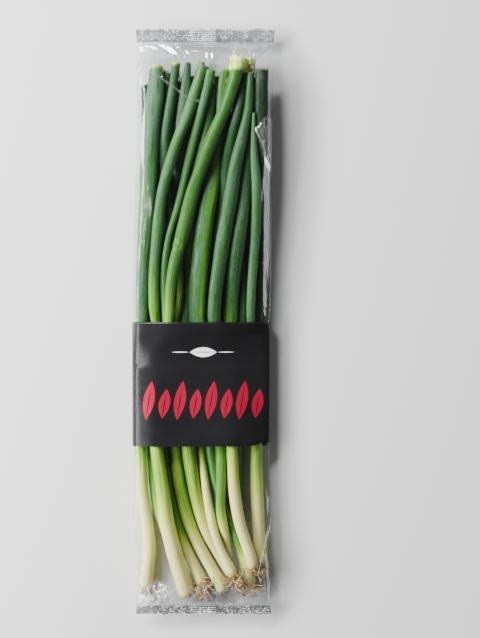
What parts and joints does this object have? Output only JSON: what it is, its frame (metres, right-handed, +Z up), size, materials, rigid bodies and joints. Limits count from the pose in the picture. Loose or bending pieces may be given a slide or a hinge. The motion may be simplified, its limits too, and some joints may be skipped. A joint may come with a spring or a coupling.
{
  "type": "packed bunch of spring onions",
  "caption": "Bunch of spring onions trimmed at the leaf tops, lying in a clear film pack with crimped ends and a dark band round the middle.",
  "frame": {"origin": "under the middle of the pack, on the surface that it lies on", "axes": "+Y along the pack from the roots to the leaf tops, +Z up out of the pack's face, +X to the right of its face"},
  "size_m": [0.0971, 0.4, 0.0251],
  "materials": {
    "shank": "satin, white at the root end to pale green",
    "leaves": "waxy, dark bluish green",
    "leaves_bright": "waxy, bright green",
    "roots": "dry and matte",
    "clear_film": "clear and glossy",
    "band_print": "satin black print with crimson"
  },
  "bodies": {
    "root": {"shank_01": "shank", "leaves_01": "leaves", "roots_01": "roots", "shank_02": "shank", "leaves_02": "leaves", "roots_02": "roots", "shank_03": "shank", "leaves_03": "leaves_bright", "roots_03": "roots", "shank_04": "shank", "leaves_04": "leaves", "roots_04": "roots", "shank_05": "shank", "leaves_05": "leaves", "roots_05": "roots", "shank_06": "shank", "leaves_06": "leaves", "roots_06": "roots", "shank_07": "shank", "leaves_07": "leaves", "roots_07": "roots", "shank_08": "shank", "leaves_08": "leaves", "roots_08": "roots", "shank_09": "shank", "leaves_09": "leaves_bright", "roots_09": "roots", "shank_10": "shank", "leaves_10": "leaves", "roots_10": "roots", "shank_11": "shank", "leaves_11": "leaves", "roots_11": "roots", "shank_12": "shank", "leaves_12": "leaves", "roots_12": "roots", "film_bag": "clear_film", "label_band": "band_print"}
  },
  "joints": []
}
